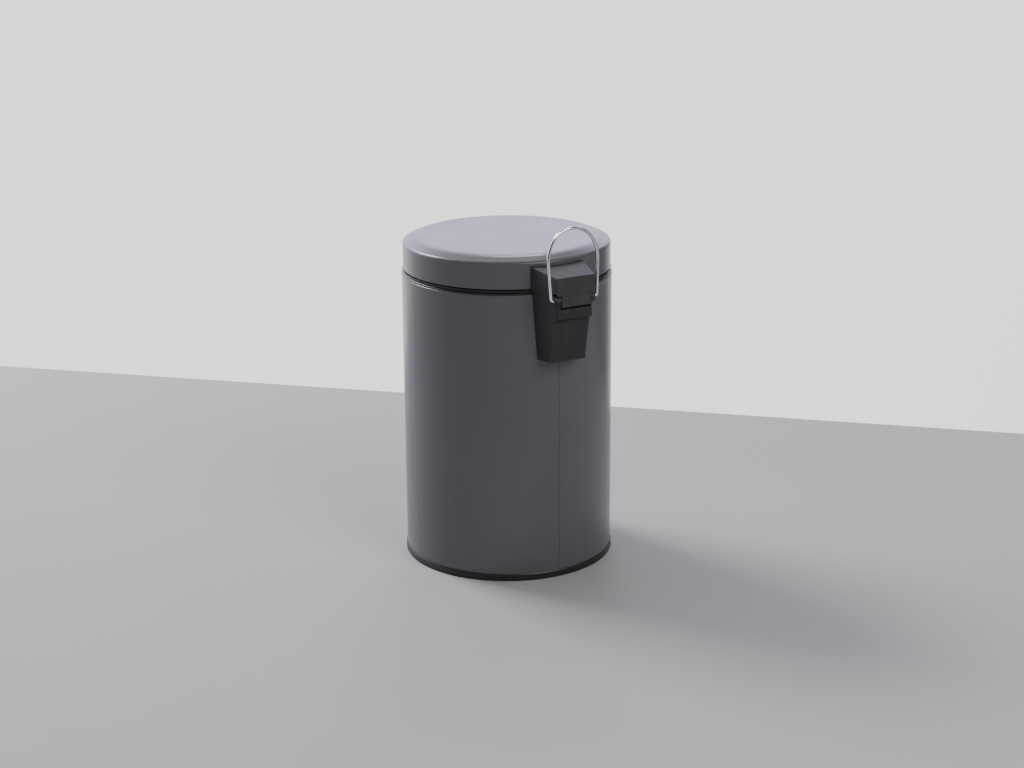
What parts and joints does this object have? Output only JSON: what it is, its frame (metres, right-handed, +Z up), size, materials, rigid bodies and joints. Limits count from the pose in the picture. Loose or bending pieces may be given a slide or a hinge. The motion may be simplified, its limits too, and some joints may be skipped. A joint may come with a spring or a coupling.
{
  "type": "pedal trash can",
  "caption": "Small round pedal bin with a hinged domed-edge lid, black hinge box, wire carry handle, foot pedal with push rod, and lift-out inner bucket.",
  "frame": {"origin": "on the floor, on the drum's axis", "axes": "+Z up along the drum's axis, +Y towards the hinge box at the back, -Y towards the pedal, +X to the side"},
  "size_m": [0.1716, 0.2232, 0.2923],
  "materials": {
    "body_paint": "semi-gloss anthracite powder coat",
    "black_plastic": "moulded black plastic with a slight sheen",
    "box_plastic": "matte fine-grained black plastic",
    "bracket_plastic": "matte fine-grained dark grey plastic",
    "bucket_plastic": "moulded dark plastic",
    "white_nylon": "natural nylon",
    "zinc_steel": "zinc-plated steel",
    "handle_chrome": "bright chrome"
  },
  "bodies": {
    "bin_body": {"outer_shell": "body_paint", "top_collar": "black_plastic", "base_pan": "black_plastic", "rod_guide": "zinc_steel", "hinge_housing": "box_plastic", "housing_backplate": "zinc_steel", "housing_screws": "zinc_steel", "hinge_pin": "zinc_steel", "pivot_pin": "zinc_steel", "pivot_clips": "zinc_steel"},
    "lid": {"lid_shell": "body_paint", "lid_bracket": "bracket_plastic", "lid_backplate": "zinc_steel", "lid_screws": "zinc_steel"},
    "handle": {"carry_handle": "handle_chrome"},
    "rod": {"push_rod": "zinc_steel", "rod_cap": "white_nylon", "rod_push_nuts": "zinc_steel"},
    "pedal": {"pedal_lever": "zinc_steel", "pedal_pad": "black_plastic", "pedal_screws": "zinc_steel"},
    "bucket": {"inner_bucket": "bucket_plastic"},
    "bail": {"bucket_bail": "zinc_steel"}
  },
  "joints": [
    {"name": "lid_hinge", "type": "hinge", "parent": "bin_body", "child": "lid", "pos_m": [0, 0.1075, 0.2364], "axis": [-1, 0, 0], "range_deg": [0, 75]},
    {"name": "rod_slide", "type": "slide", "parent": "bin_body", "child": "rod", "axis": [0, 0, 1], "range_m": [0, 0.01179]},
    {"name": "pedal_pivot", "type": "hinge", "parent": "bin_body", "child": "pedal", "pos_m": [0, 0, 0.014], "axis": [1, 0, 0], "range_deg": [0, 8.55]},
    {"name": "handle_swing", "type": "hinge", "parent": "lid", "child": "handle", "pos_m": [0, 0.1075, 0.2364], "axis": [-1, 0, 0], "range_deg": [-26, 90]},
    {"name": "bucket_lift", "type": "slide", "parent": "bin_body", "child": "bucket", "axis": [0, 0, 1], "range_m": [0, 0.01]},
    {"name": "bail_swing", "type": "hinge", "parent": "bucket", "child": "bail", "pos_m": [0, 0, 0.23995], "axis": [-1, 0, 0], "range_deg": [0, 8]}
  ],
  "couplings": [
    {"joint": "rod_slide", "follows": "lid_hinge", "m_per_rad": 0.009},
    {"joint": "pedal_pivot", "follows": "lid_hinge", "ratio": 0.11392}
  ]
}
